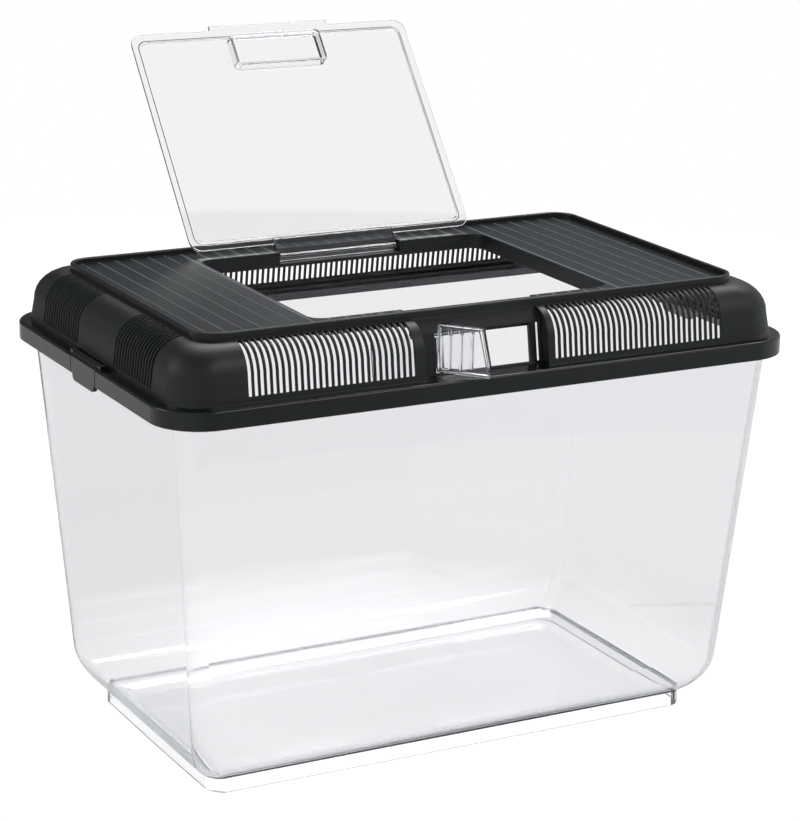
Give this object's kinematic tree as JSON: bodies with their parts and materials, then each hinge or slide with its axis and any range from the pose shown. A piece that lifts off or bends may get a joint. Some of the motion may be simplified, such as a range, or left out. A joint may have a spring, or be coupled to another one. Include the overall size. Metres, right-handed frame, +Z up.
{
  "type": "plastic pet keeper",
  "caption": "Clear plastic pet keeper with a slotted black lid, a hinged clear top flap, a sliding feeding shutter and two snap clips.",
  "frame": {"origin": "bottom centre of the whole keeper at rest, with its top flap open, on the surface it stands on; the middle of the tub's foot lies 22.0 mm in front of it", "axes": "+Z up, -Y towards the front with the feeding port, +X to the right of a person who faces the front"},
  "size_m": [0.37, 0.2964, 0.3627],
  "materials": {
    "clear_plastic": "polished clear polystyrene",
    "black_plastic": "satin black polypropylene"
  },
  "bodies": {
    "tub": {"tub": "clear_plastic"},
    "lid": {"lid": "black_plastic"},
    "top_flap": {"top_flap": "clear_plastic"},
    "feed_shutter": {"feed_shutter": "clear_plastic"},
    "side_clip_left": {"side_clip_left": "black_plastic"},
    "side_clip_right": {"side_clip_right": "black_plastic"}
  },
  "joints": [
    {"name": "lid_lift", "type": "slide", "parent": "tub", "child": "lid", "axis": [0, 0, 1], "range_m": [0, 0.06]},
    {"name": "flap_hinge", "type": "hinge", "parent": "lid", "child": "top_flap", "pos_m": [0, 0.05281, 0.2452], "axis": [1, 0, 0], "range_deg": [0, 129]},
    {"name": "shutter_slide", "type": "slide", "parent": "lid", "child": "feed_shutter", "axis": [1, 0, 0], "range_m": [0, 0.034]},
    {"name": "left_clip_hinge", "type": "hinge", "parent": "lid", "child": "side_clip_left", "pos_m": [-0.1816, -0.02199, 0.2196], "axis": [0, 1, 0], "range_deg": [0, 100]},
    {"name": "right_clip_hinge", "type": "hinge", "parent": "lid", "child": "side_clip_right", "pos_m": [0.1816, -0.02199, 0.2196], "axis": [0, -1, 0], "range_deg": [0, 100]}
  ]
}
